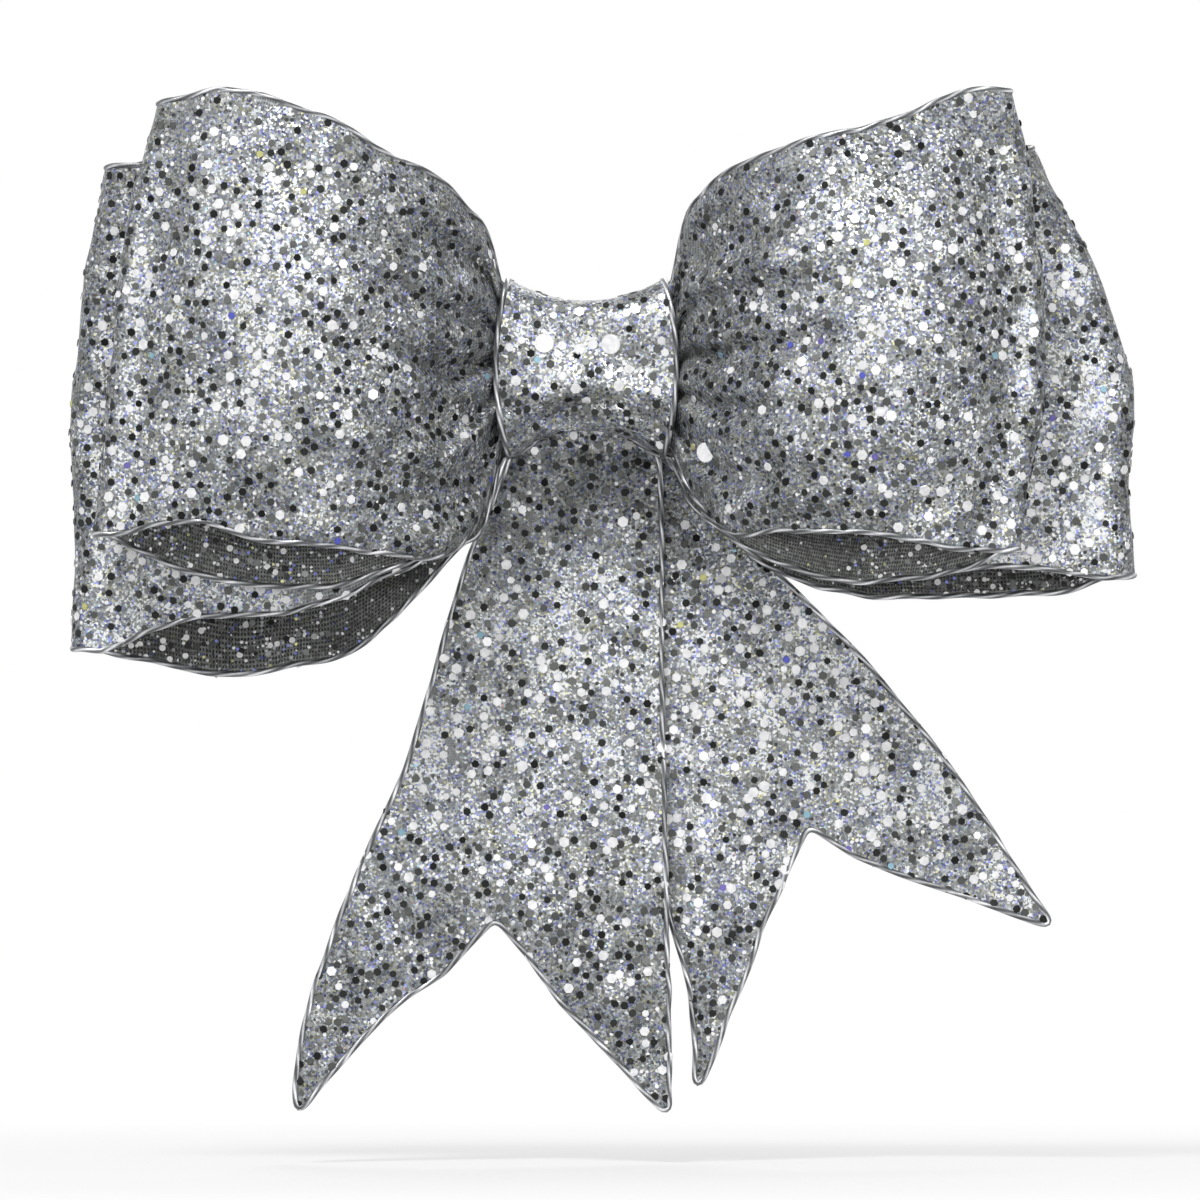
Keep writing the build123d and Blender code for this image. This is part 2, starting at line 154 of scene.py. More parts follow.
def strip_spot(pair, along, w):
    """Where a spot of the strip lies: along from the knot's middle, w from its bottom edge to its top."""
    loop, side = (pair["left"], -1) if along < 0 else (pair["right"], 1)
    away = abs(along)
    pleat_start = {"front": 0.4 * side, "back": 2.0 + side}
    radius, layer_length = fold_radius(pair), pair["layer_length"]
    fold_length = math.pi * radius
    if away <= throat_reach:
        share = away / throat_reach
        ease = share * share * (3 - 2 * share)
        x = away
        y = pair["crossing"] + (pair["front_depth"][0] - pair["crossing"]) * ease
        top = gather_mid_height + gather_half_height
        top += (throat_top - top) * ease
        bottom = gather_mid_height - gather_half_height
        bottom += (loop["front_bottom"][0] - bottom) * ease
        z = between(bottom, top, w)
        gathered = knot_pleat_share + (1 - knot_pleat_share) * ease
        y += pair["front_bow"][0] * w * w + pleats(pair, x, w, pleat_start["front"]) * gathered
    elif away <= throat_reach + layer_length or away > throat_reach + layer_length + fold_length:
        layer = "front" if away <= throat_reach + layer_length else "back"
        share = (away - throat_reach) / layer_length
        if layer == "back":
            share = (throat_reach + 2 * layer_length + fold_length - away) / layer_length
        if share >= 0:
            top = through(loop[layer + "_top"], share)
            bottom = through(loop[layer + "_bottom"], share)
            bow = through(pair[layer + "_bow"], share, level_end=True)
            x = throat_reach + (fold_reach(loop, w) - radius - throat_reach) * share
            y = through(pair[layer + "_depth"], share, level_end=True) + bow * w * w
            if layer + "_valley" in pair:
                valley = through(pair[layer + "_valley"], share, level_end=True)
                y += valley * max(0, 1 - 2 * abs(w)) ** 1.5
            y += pleats(pair, x, w, pleat_start[layer])
            z = between(bottom, top, w)
        else:
            run = -share * layer_length
            ease = min(1, run / throat_reach)
            ease = ease * ease * (3 - 2 * ease)
            x = throat_reach - run
            one_over_other = side * 0.6
            y = pair["back_depth"][0] + (pair["lap"] + one_over_other - pair["back_depth"][0]) * ease
            top = throat_top + (gather_mid_height + gather_half_height - throat_top) * ease
            bottom = loop["back_bottom"][0]
            bottom += (gather_mid_height - gather_half_height - bottom) * ease
            z = between(bottom, top, w)
            y += pleats(pair, throat_reach, w, pleat_start["back"]) * knot_pleat_share
    else:
        turn = (away - throat_reach - layer_length) / radius
        x = fold_reach(loop, w) - radius + radius * math.sin(turn)
        y = (pair["front_depth"][-1] + pair["back_depth"][-1]) / 2 - radius * math.cos(turn)
        bow = pair["front_bow"][-1] * math.cos(turn / 2) ** 2
        bow += pair["back_bow"][-1] * math.sin(turn / 2) ** 2
        y += bow * w * w
        z = between(loop["front_bottom"][-1], loop["front_top"][-1], w)
    fold_middle = throat_reach + layer_length + fold_length / 2
    nearness = math.exp(-(((away - fold_middle) / (fold_length / 2 + 3)) ** 2))
    z -= 1.3 * w**9 * nearness
    spot = Vector((side * x, y, z))
    free = min(1, max(0, (abs(x) - throat_reach) / free_run))
    spot += noise.noise_vector(spot / wave_span) * wave_depth * free
    spot += noise.noise_vector(spot / wrinkle_span + Vector((3, 1, 2))) * wrinkle_depth * free
    edge = max(0, (abs(w) - edge_begins) / edge_zone) ** 2 * free
    row = 1.7 if w > 0 else 5.3
    spot.y += edge * 0.8 * noise.noise(Vector((along / 12, row, pair["lap"])))
    spot.z += edge * 0.6 * noise.noise(Vector((along / 9, row + 9, pair["lap"])))
    return spot * MM


def sum_of(operation, swapped=False):
    """An operator of Shades that adds one Math node."""

    def apply(self, other):
        values = (other, self) if swapped else (self, other)
        return self.node("Math", dict(enumerate(values)), operation=operation)

    return apply


class Shade:
    """One output of a node of a material; a sum written with it adds the Math nodes it needs."""

    __add__ = __radd__ = sum_of("ADD")
    __sub__, __rsub__ = sum_of("SUBTRACT"), sum_of("SUBTRACT", swapped=True)
    __mul__ = __rmul__ = sum_of("MULTIPLY")
    __gt__, __lt__ = sum_of("GREATER_THAN"), sum_of("LESS_THAN")

    def __init__(self, tree, socket=None):
        self.tree, self.socket = tree, socket

    def node(self, kind, inputs=None, out=0, **settings):
        """Add a node: first its settings, then its inputs, as values or as outputs of other nodes."""
        made = self.tree.nodes.new("ShaderNode" + kind)
        for name, value in settings.items():
            setattr(made, name, value)
        for name, value in (inputs or {}).items():
            if isinstance(value, Shade):
                self.tree.links.new(value.socket, made.inputs[name])
            else:
                made.inputs[name].default_value = value
        return Shade(self.tree, made.outputs[out])

    def math(self, operation, *others):
        return self.node("Math", dict(enumerate((self, *others))), operation=operation)

    def ramp(self, stops, interpolation="LINEAR"):
        """The colour at this number on a ramp of places and colours."""
        ramped = self.node("ValToRGB", {0: self})
        ramp = ramped.socket.node.color_ramp
        ramp.interpolation = interpolation
        ramp.elements.remove(ramp.elements[1])
        ramp.elements[0].position, ramp.elements[0].color = stops[0][0], (*stops[0][1], 1)
        for place, colour in stops[1:]:
            ramp.elements.new(place).color = (*colour, 1)
        return ramped

    def clouds(self, scale, **more):
        """Soft noise round this place."""
        return self.node("TexNoise", {"Vector": self, "Scale": scale, **more})

    def cells(self, scale):
        """A random colour for each of the cells round this place."""
        return self.node("TexVoronoi", {"Vector": self, "Scale": scale}, out=1)

    def relief(self, strength):
        """The normals of a surface with this height, in metres."""
        return self.node("Bump", {"Strength": strength, "Distance": 1.0, "Height": self})

    def outputs(self, *names):
        """The outputs of this one's node: those with the given names, or all of them."""
        found = self.socket.node.outputs
        return [Shade(self.tree, found[name]) for name in names or range(len(found))]

    def channels(self):
        """The three numbers of a colour or a random cell."""
        return self.node("SeparateColor", {0: self}).outputs()

    def blend(self, first, second):
        """The first colour where this is 0 and the second where it is 1."""
        return self.node("Mix", {0: self, 6: first, 7: second}, out=2, data_type="RGBA")

    def tinted(self, colour):
        """This colour multiplied by another."""
        inputs = {0: 1.0, 6: self, 7: colour}
        return self.node("Mix", inputs, out=2, data_type="RGBA", blend_type="MULTIPLY")


def finish_of(name, roughness=0.5, metallic=0.0, shine=0.5):
    """A new material: itself, a Shade to grow its nodes from, and a way to feed its shader."""
    material = bpy.data.materials.new(name)
    material.use_nodes = True
    shader = material.node_tree.nodes["Principled BSDF"]
    shader.inputs["Roughness"].default_value = roughness
    shader.inputs["Metallic"].default_value = metallic
    shader.inputs["Specular IOR Level"].default_value = shine

    def feed(**links):
        for socket, shade in links.items():
            material.node_tree.links.new(shade.socket, shader.inputs[socket.replace("_", " ")])

    return material, Shade(material.node_tree), feed


def clouded_finish(name, scale, dark, light, detail=2.0, **settings):
    """A finish whose colour wanders in soft clouds between two stops of a ramp."""
    material, start, feed = finish_of(name, **settings)
    place = start.node("TexCoord", out=3)
    cloud = place.clouds(scale, Detail=detail)
    feed(Base_Color=cloud.ramp([dark, light]))
    return material, start, feed, cloud


def weave_of(start):
    """The woven net, from 0 in its holes to 1 on its threads, on the ribbon's own map in millimetres."""
    warp_pitch, weft_pitch = 0.72, 0.95
    spot = start.node("UVMap", uv_map="ribbon")
    along, across, _ = start.node("SeparateXYZ", {0: spot}).outputs()
    warp = (along * (2 * math.pi / warp_pitch)).math("SINE") * 0.5 + 0.5
    weft = (across * (2 * math.pi / weft_pitch)).math("SINE") * 0.5 + 0.5
    return warp.math("MAXIMUM", weft)


def glitter_finish(name, bare_reach=0.0):
    """Fine glitter, each speck at its own tilt, with net in its thin patches and near the knot.

    The bare reach is how far from the bow's middle the glitter is worn away, in metres.
    """
    material, start, feed = finish_of(name, metallic=0.25, shine=0.25)
    place = start.node("TexCoord", out=3)
    specks = place.cells(2100.0)
    centre = specks.outputs()[2]
    light, tint, gloss = specks.channels()
    patches = place.clouds(130.0, Detail=2.0, Roughness=0.6)
    # Painted light and shade kept on the mesh brightens the specks and chips where it is high and darkens
    # them where it is low.
    painted_light = start.node("Attribute", attribute_name="painted_light_and_shade", out=2)
    # Each speck is a small silver mirror, so its tone is partly painted reflection: specks are painted
    # dark, grey and white at random and in soft patches, as mirrors showing a dark room and a lamp.
    brightness = light * 0.8 + patches * 0.9 + painted_light * 0.34 - 0.42
    tone = brightness.ramp([
        (0.0, (0.085, 0.09, 0.09)), (0.25, (0.185, 0.193, 0.193)), (0.5, (0.29, 0.3, 0.303)),
        (0.72, (0.41, 0.423, 0.43)), (0.86, (0.62, 0.635, 0.65)), (0.95, (0.95, 0.97, 0.98)),
    ])
    veins = place.clouds(170.0, Detail=1.0, Distortion=0.6)
    colour = (tint * 0.8 + veins * 0.9 - 0.35).ramp([
        (0.0, (1.0, 1.0, 0.97)), (0.12, (1.0, 0.96, 0.55)), (0.17, (1.0, 1.0, 0.98)),
        (0.6, (0.88, 0.93, 1.0)), (0.72, (0.42, 0.46, 1.0)), (0.79, (0.6, 0.54, 1.0)),
        (0.82, (0.97, 1.0, 1.0)), (0.9, (0.55, 0.88, 1.0)), (0.92, (1.0, 0.6, 0.55)),
        (0.93, (0.97, 1.0, 1.0)),
    ], "CONSTANT")
    fine = tone.tinted(colour)
    chips = place.cells(900.0)
    chip_reach = chips.outputs()[0]
    chip_light, chip_pick, _ = chips.channels()
    # The larger chips take the same painted reflection and painted light.
    chip_tone = (chip_light + patches * 0.9 + painted_light * 0.3 - 0.57).ramp([
        (0.0, (0.04, 0.042, 0.04)), (0.3, (0.12, 0.125, 0.12)), (0.5, (0.25, 0.26, 0.26)),
        (0.68, (0.5, 0.51, 0.53)), (0.76, (1, 1, 1)),
    ])
    chip_mask = (chip_pick > 0.5) * (chip_reach < 0.4)
    coated = chip_mask.blend(fine, chip_tone)
    thin = place.clouds(95.0, Detail=3.0)
    weave = weave_of(start)
    net = weave.blend((0.05, 0.055, 0.052, 1), (0.34, 0.355, 0.36, 1))
    side, _, height = start.node("SeparateXYZ", {0: place}).outputs()
    loops_lower_part = -0.028
    lower = ((loops_lower_part - height) * 30).math("MINIMUM", 0.6)
    reach_here = bare_reach + lower.math("MAXIMUM", 0.0) * bare_reach
    rubbed = (reach_here - side.math("ABSOLUTE")) * 25
    worn = thin + rubbed.math("MAXIMUM", 0.0) * (0.35 + gloss * 1.3)
    base = ((worn > 0.7) * 0.85).blend(coated, net)
    tilt = specks.node("VectorMath", {0: specks, 1: (0.5, 0.5, 0.5)}, operation="SUBTRACT")
    offset = specks.node("VectorMath", {0: place, 1: centre}, operation="SUBTRACT")
    lean = tilt.node("VectorMath", {0: tilt, 1: offset}, out=1, operation="DOT_PRODUCT")
    bump = (lean * 0.55 + chip_mask * 0.00006).relief(0.8)
    feed(Base_Color=base, Roughness=0.25 + gloss * 0.4, Normal=bump)
    return material


def net_finish():
    """The bare inner side: fine grey net, duller and darker than the glitter, with stray specks."""
    material, start, feed = finish_of("ribbon_net", roughness=0.5, metallic=0.15)
    place = start.node("TexCoord", out=3)
    weave = weave_of(start)
    # Painted shade in soft random clouds over the inner side: where it is dark, the cloth between the
    # threads goes near black and the threads show less.
    painted_shade_clouds = place.clouds(45.0, Detail=3.0)
    thread = (weave * 2.4 - 1.0).blend((0.005, 0.006, 0.005, 1), (0.21, 0.22, 0.208, 1))
    satin = painted_shade_clouds.ramp([
        (0.32, (0.012, 0.014, 0.012)), (0.5, (0.06, 0.064, 0.06)), (0.68, (0.2, 0.21, 0.2)),
    ])
    open_net = painted_shade_clouds.ramp([(0.35, (0, 0, 0)), (0.5, (1, 1, 1))])
    grain = place.clouds(1300.0, Detail=2.0, Roughness=0.7)
    fleck = grain.ramp([
        (0.38, (0.4, 0.4, 0.4)), (0.62, (1.35, 1.35, 1.35)),
    ])
    cloth = (open_net * 0.5 + 0.42).blend(satin, thread).tinted(fleck)
    side = start.node("SeparateXYZ", {0: place})
    far = (side.math("ABSOLUTE") * 24 - 1.25).math("MAXIMUM", 0.0)
    showing = place.clouds(55.0, Detail=2.0)
    specks = place.cells(1100.0)
    speck_reach = specks.outputs()[0]
    light, pick, tint = specks.channels()
    # The stray specks' and chips' tones, dark to white, are partly painted reflection, as on the glitter.
    speck_tone = light.ramp([
        (0.0, (0.03, 0.032, 0.03)), (0.45, (0.16, 0.17, 0.165)),
        (0.7, (0.5, 0.52, 0.55)), (0.85, (1, 1, 1)),
    ])
    colour = tint.ramp([
        (0.0, (1, 1, 1)), (0.6, (0.35, 0.38, 1.0)), (0.75, (1, 1, 1)),
        (0.88, (1.0, 1.0, 0.5)), (0.94, (1, 1, 1)),
    ], "CONSTANT")
    fine = (pick + showing * 1.4 + far * 0.5 > 1.35) * (speck_reach < 0.42)
    chips = place.cells(600.0)
    chip_reach = chips.outputs()[0]
    chip_light, chip_pick, _ = chips.channels()
    chip_tone = chip_light.ramp([
        (0.3, (0.012, 0.013, 0.012)), (0.42, (0.12, 0.125, 0.12)),
        (0.62, (0.3, 0.31, 0.31)), (0.74, (1, 1, 1)),
    ])
    large = (chip_pick + showing * 0.8 + far * 0.6 > 1.3) * (chip_reach < 0.42)
    base = large.blend(fine.blend(cloth, speck_tone.tinted(colour)), chip_tone)
    feed(Base_Color=base, Normal=(weave * 0.00008).relief(0.6))
    return material


loop_glitter = glitter_finish("loop_glitter", bare_reach=0.0265)
back_glitter = glitter_finish("back_loop_glitter", bare_reach=0.046)
glitter = glitter_finish("glitter_ribbon")
# The direction that the glitter's painted highlight comes from: the front, a little above.
painted_light_from = Vector((-0.02, -0.98, 0.17)).normalized()
bare_net = net_finish()


def linked(name, data):
    """A new object in the scene around a mesh, a lamp or a camera."""
    holder = bpy.data.objects.new(name, data)
    bpy.context.scene.collection.objects.link(holder)
    return holder


def ribbon_piece(name, spot_at, length, width, steps_along, steps_across, outward, coat,
                 cover_at=lambda w: 1.0, shade_at=lambda spot: 1.0):
    """A ribbon of net from a grid whose spots are moved to their place, glitter outside and net inside.

    Each spot also keeps how many flakes cover it and its painted light and shade: a painted highlight most
    where it faces the light squarely, painted shade where it looks down and in the shadows that shade_at
    paints, in soft clusters, and a little brighter to the right.
    """
    narrowness, turned_away, looking_down = 6, 0.6, 0.5
    cluster_span = 15 * MM
    bm = bmesh.new()
    bmesh.ops.create_grid(bm, x_segments=steps_along, y_segments=steps_across, size=1.0)
    uv = bm.loops.layers.uv.new("ribbon")
    cover = bm.verts.layers.float.new("cover")
    painted_light = bm.verts.layers.float.new("painted_light_and_shade")
    for face in bm.faces:
        for loop in face.loops:
            loop[uv].uv = (loop.vert.co.x * length / 2, loop.vert.co.y * width / 2)
        face.smooth = True
    for vert in bm.verts:
        vert[cover] = cover_at(vert.co.y)
        vert.co = spot_at(vert.co.x, vert.co.y)
    bm.normal_update()
    if not outward(bm):
        bmesh.ops.reverse_faces(bm, faces=bm.faces)
        bm.normal_update()
    # Painted light and shade for the glitter's colour: a painted highlight where a spot faces the light,
    # painted shade where it looks down or lies in a painted shadow, dimmer where the flakes are thin.
    for vert in bm.verts:
        facing = vert.normal.dot(painted_light_from)
        squarely = abs(facing) ** narrowness * (1.0 if facing > 0 else turned_away)
        squarely -= looking_down * max(0, -vert.normal.z)
        cluster = 0.94 + 0.55 * noise.noise(vert.co / cluster_span)
        cluster += 3 * min(0.04, max(0, vert.co.x))
        vert[painted_light] = squarely * (0.15 + 0.85 * vert[cover]) * shade_at(vert.co) * cluster
    mesh = bpy.data.meshes.new(name)
    bm.to_mesh(mesh)
    piece = linked(name, mesh)
    mesh.materials.append(coat)
    mesh.materials.append(bare_net)
    wall = piece.modifiers.new("thickness", "SOLIDIFY")
    wall.thickness = ribbon_thickness * MM
    wall.offset = 0
    wall.material_offset = 1
    return piece, bm


def top_rim_cover(w):
    """The loops' glitter thins out to fine grit along their upper edge."""
    thinned_share = 0.62
    return min(1, max(0, (1 - w) / thinned_share))


def under_knot_shade(spot):
    """The knot's shadow over what hangs or opens below it."""
    top, depth, drop, half_width = -0.019, 1.35, 0.024, 0.045
    below = top - spot.z
    if below < 0:
        return 1.0
    return 1 - depth * math.exp(-((below / drop) ** 2) - (spot.x / half_width) ** 2)


def tail_shade(spot):
    """The knot's shadow over the tails, and their duller ends where they curl out of the light."""
    curl_begins, curl_run, brightest = -0.095, 0.03, 0.85
    dullest = min(1, max(0.5, 0.75 - 4 * spot.x))
    curled = min(1, max(0, (curl_begins - spot.z) / curl_run))
    return brightest * under_knot_shade(spot) * (1 - dullest * curled)


def faces_forward(bm):
    """Whether the ribbon's glitter side faces the front where it lies foremost."""
    foremost = min(bm.faces, key=lambda face: face.calc_center_median().y)
    return foremost.normal.y < 0


def strip_piece(name, pair, coat):
    """A pair of loops from one strip, and the mesh that its flakes are laid on."""
    half = half_strip(pair)
    return ribbon_piece(
        name,
        lambda u, w: strip_spot(pair, u * half, w),
        2 * half, ribbon_width, 360, 64, faces_forward, coat, top_rim_cover, under_knot_shade,
    )


def flake_finish():
    """A loose flake of metallised film, its own tone on it and a little unevenness."""
    material, start, feed = finish_of("flake_film", metallic=0.3, shine=0.2)
    own = start.node("Attribute", attribute_name="flake_colour")
    place = start.node("TexCoord", out=3)
    cloud = place.clouds(900.0)
    shade = cloud.ramp([(0.3, (0.82, 0.82, 0.84)), (0.65, (1, 1, 1))])
    feed(Base_Color=own.tinted(shade), Roughness=0.2 + cloud * 0.3)
    return material


flake_film = flake_finish()
flake_thickness = 0.12
flake_spacing = 1.75
flake_corners = 6


def flake_tone(painted_light, dice):
    """The tone of a flake and how much larger it is. The tones are partly painted reflection: silver
    flakes painted dark and grey as if they showed a dark room, more of them white where the painted light
    on the ribbon is high.
    """
    dark = 0.6 - 0.32 * painted_light
    grey_up_to = dark + 0.33 - 0.1 * painted_light
    coloured_up_to = dark + 0.345 - 0.1 * painted_light
    pick = dice.random()
    if pick < dark:
        grey = dice.uniform(0.008, 0.035)
        return (grey, grey * 1.1, grey), 1.0
    if pick < grey_up_to:
        grey = dice.uniform(0.06, 0.2)
        return (grey, grey * 1.05, grey * 0.99), dice.uniform(0.95, 1.1)
    if pick < coloured_up_to:
        return dice.choice([(0.12, 0.14, 0.6), (0.6, 0.6, 0.25), (0.2, 0.17, 0.5), (0.3, 0.5, 0.6)]), 0.9
    grey = dice.uniform(0.9, 1.0)
    return (grey, grey, grey), dice.uniform(1.0, 1.45)


def flake_piece(name, resting, dice):
    """Thin flat flakes, one for each place, normal, radius, number of corners and painted light in the
    list.

    A flake with six corners is loose glitter with a tone from the dice; one with more is a white
    sequin. They are made in batches, which is quicker, and each has a cell of its own in the map.
    """
    batch, tilt, taper = 150, 0.16, 0.93
    whole = bmesh.new()
    cells = math.ceil(math.sqrt(len(resting)))
    mesh = bpy.data.meshes.new(name)
    for first in range(0, len(resting), batch):
        bm = bmesh.new()
        colour = bm.verts.layers.float_color.new("flake_colour")
        uv = bm.loops.layers.uv.new("OFBake")
        for i in range(first, min(first + batch, len(resting))):
            place, normal, radius, corners, painted_light = resting[i]
            tone = (1, 1, 1)
            if corners == flake_corners:
                tone, larger = flake_tone(min(1, painted_light), dice)
                radius *= larger
            leaning = (normal + Vector([dice.uniform(-tilt, tilt) for _ in range(3)])).normalized()
            turn = leaning.to_track_quat("Z", "Y").to_matrix().to_4x4()
            turn = turn @ Matrix.Rotation(dice.uniform(0, 2 * math.pi), 4, "Z")
            lift = ribbon_thickness / 2 + flake_thickness + 0.07 * radius
            made = bmesh.ops.create_cone(
                bm, cap_ends=True, cap_tris=False, segments=corners,
                radius1=radius * MM, radius2=radius * taper * MM, depth=flake_thickness * MM,
                matrix=Matrix.Translation(place + normal * lift * MM) @ turn,
            )
            middle = ((i % cells + 0.5) / cells, (i // cells + 0.5) / cells)
            for k, vert in enumerate(made["verts"]):
                vert[colour] = (*tone, 1)
                angle = 2 * math.pi * (k // 2) / corners
                reach = (0.36, 0.45)[k % 2] / cells
                on_map = (middle[0] + reach * math.cos(angle), middle[1] + reach * math.sin(angle))
                for loop in vert.link_loops:
                    loop[uv].uv = on_map
        bm.to_mesh(mesh)
        bm.free()
        whole.from_mesh(mesh)
    whole.to_mesh(mesh)
    whole.free()
    mesh.materials.append(flake_film)
    return linked(name, mesh)


def scattered(bm, per_mm2, dice, covered=lambda spot: False):
    """Places for flakes on a ribbon's outer side, fewer where it turns sideways or is thinly covered."""
    resting, taken, apart = [], {}, flake_spacing * MM
    around = [(i, j, k) for i in (-1, 0, 1) for j in (-1, 0, 1) for k in (-1, 0, 1)]
    cover, painted_light = bm.verts.layers.float["cover"], bm.verts.layers.float["painted_light_and_shade"]
    for face in bm.faces:
        coverage = min(face.verts[0][cover], abs(face.normal.y) * 1.3)
        expected = face.calc_area() / MM**2 * per_mm2 * (0.3 + 0.7 * coverage)
        centre = face.calc_center_median()
        if covered(centre) or dice.random() > expected:
            continue
        a, b = dice.random(), dice.random()
        corners = [vert.co for vert in face.verts]
        near_side = corners[0] * (1 - a) + corners[1] * a
        far_side = corners[3] * (1 - a) + corners[2] * a
        spot = near_side * (1 - b) + far_side * b
        cell = tuple(math.floor(value / apart) for value in spot)
        beside = [tuple(map(sum, zip(cell, step))) for step in around]
        near = [other for place in beside for other in taken.get(place, [])]
        if any((spot - other).length < apart for other in near):
            continue
        taken.setdefault(cell, []).append(spot)
        radius = dice.uniform(0.78, 0.95)
        resting.append((spot, face.normal.copy(), radius, flake_corners, face.verts[0][painted_light]))
    return resting


def seat_on(bm, x, z):
    """The place and normal of the foremost layer of a ribbon at a point seen from the front."""

    def distance(face):
        middle = face.calc_center_median()
        return (middle.xz - Vector((x, z)) * MM).length + 0.05 * middle.y

    near = min((face for face in bm.faces if face.normal.y < -0.2), key=distance)
    return near.calc_center_median(), near.normal.copy()


def under_band(spot):
    return abs(spot.x) < 19.5 * MM


def edging_finish():
    """Silver threads laid round the edge wire in long turns: bright, with painted highlights on the turns
    and greys painted as darker reflection in rougher patches.
    """
    turn_length, rolls = 7, 3
    material, start, feed = finish_of("silver_edging", roughness=0.3, metallic=0.6)
    spot = start.node("UVMap", uv_map="thread")
    along, around, _ = start.node("SeparateXYZ", {0: spot}).outputs()
    place = start.node("TexCoord", out=3)
    matte_and_painted_grey = place.clouds(160.0, Detail=3.0)
    slant = along * (2 * math.pi / turn_length) + around * (2 * math.pi * rolls)
    winding_and_painted_highlight = slant.math("SINE") * 0.5 + 0.5
    # The tone is painted: greys as darker reflection in the rougher patches, and a painted highlight on
    # each turn of thread; the turns' relief and roughness are real.
    tone = (matte_and_painted_grey * 0.62 + winding_and_painted_highlight * 0.3 + 0.03).ramp([
        (0.34, (0.1, 0.104, 0.108)), (0.5, (0.28, 0.286, 0.295)),
        (0.62, (0.55, 0.56, 0.58)), (0.7, (0.95, 0.95, 0.97)),
    ])
    feed(Base_Color=tone, Roughness=0.2 + matte_and_painted_grey * 0.3, Normal=(winding_and_painted_highlight * 0.00009).relief(0.7))
    return material


edging = edging_finish()
edge_radius = 0.68


def edging_piece(name, spots):
    """A covered wire that follows an edge: two rolls of thread side by side that twist as they go."""
    twist_length, unevenness = 9, 2.2
    round_part, oval_part = 0.93, 0.07
    bm = bmesh.new()
    around = 10
    bmesh.ops.create_grid(bm, x_segments=len(spots) - 1, y_segments=around, size=1.0)
    uv = bm.loops.layers.uv.new("thread")
    sides, side = [], Vector((0, 1, 0))
    runs = [0.0]
    for i, spot in enumerate(spots):
        along = (spots[min(i + 1, len(spots) - 1)] - spots[max(i - 1, 0)]).normalized()
        side = (side - along * side.dot(along)).normalized()
        sides.append((side, along.cross(side)))
        if i:
            runs.append(runs[-1] + (spot - spots[i - 1]).length / MM)
    for face in bm.faces:
        face.smooth = True
        for loop in face.loops:
            i = round((loop.vert.co.x + 1) / 2 * (len(spots) - 1))
            loop[uv].uv = (runs[i], (loop.vert.co.y + 1) / 2)
    for vert in bm.verts:
        i = round((vert.co.x + 1) / 2 * (len(spots) - 1))
        turn = math.pi * (vert.co.y + 1)
        twist = runs[i] / twist_length + unevenness * noise.noise(Vector((runs[i] / 30, 0.5, 0)))
        reach = edge_radius * MM * (round_part + oval_part * math.cos(2 * (turn - twist)))
        first, second = sides[i]
        vert.co = spots[i] + (first * math.cos(turn) + second * math.sin(turn)) * reach
    bmesh.ops.remove_doubles(bm, verts=bm.verts, dist=0.00001)
    bmesh.ops.holes_fill(bm, edges=[edge for edge in bm.edges if edge.is_boundary], sides=0)
    bmesh.ops.recalc_face_normals(bm, faces=bm.faces)
    mesh = bpy.data.meshes.new(name)
    bm.to_mesh(mesh)
    bm.free()
    mesh.materials.append(edging)
    return linked(name, mesh)


def loop_edging(name, pair, w):
    """The wire in one edge of a pair's strip, which ends where the strip's laps do not show."""
    reach = half_strip(pair) - 2 * lap_length
    count = 420
    runs = [-reach + 2 * reach * i / count for i in range(count + 1)]
    return edging_piece(name, [strip_spot(pair, run, w) for run in runs])


front_loops, front_shape = strip_piece("front_loops", front_pair, loop_glitter)
front_top_edge = loop_edging("front_loops_top_edging", front_pair, 1)
front_bottom_edge = loop_edging("front_loops_bottom_edging", front_pair, -1)
front_dice = random.Random(11)
sequin_radius, sequin_corners = 2.2, 14
front_places = scattered(front_shape, 0.105, front_dice, under_band)
spot, normal = seat_on(front_shape, 25.5, -19.7)
sequin_place = spot + Vector((0, -0.9, 0)) * MM
sequin_normal = (normal + Vector((0, -1, 0))).normalized()
front_places.append((sequin_place, sequin_normal, sequin_radius, sequin_corners, 1.0))
front_flakes = flake_piece("front_loops_flakes", front_places, front_dice)
for piece in (front_loops, front_top_edge, front_bottom_edge, front_flakes):
    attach(piece, "knot")
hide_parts("front_loop_ribbon")
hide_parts("front_loop_top_wire")
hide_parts("front_loop_bottom_wire")

# ------------------------------ Back pair of loops
# A second strip of the same ribbon, in larger loops that stand behind and below the front pair.
# It is gathered in the same cinch wire, so its pleats lie just behind those of the front strip.
back_pair = {
    "front_depth": (-15, -17.9, -22, -30.5, -32.5, -31, -28),
    "front_bow": (0, 0, 0, 2, 2, 1, 1),
    "back_depth": (-10.6, -10.8, -11, -10, -10, -12, -16),
    "back_bow": (0, -0.8, -2, -5, -6, -3, 1),
    "crossing": -13.4,
    "lap": -9.3,
    "layer_length": 90.0,
    "pleat_depth": 0.9,
    "left": {
        "fold_reach": (110.8, 110.4, 111, 108.3, 103.2),
        "front_top": (throat_top, 20, 26, 38, 45, 45.5, 43.5),
        "front_bottom": (throat_bottom, -28.5, -36, -48, -55, -56.5, -63),
        "back_top": (throat_top, 18.2, 22, 30, 36, 40, 43.5),
        "back_bottom": (-20.5, -34.5, -39.5, -59.3, -66.7, -65.3, -63),
    },
    "right": {
        "fold_reach": (118.8, 117.6, 117.2, 108.4, 96.4),
        "front_top": (throat_top, 20, 26, 37, 44, 47, 47.5),
        "front_bottom": (throat_bottom, -25.5, -31, -40, -44, -44.5, -47.5),
        "back_top": (throat_top, 18.2, 22, 30, 38, 44, 47.5),
        "back_bottom": (-20.5, -29.5, -35, -47.5, -51, -50, -47.5),
    },
}


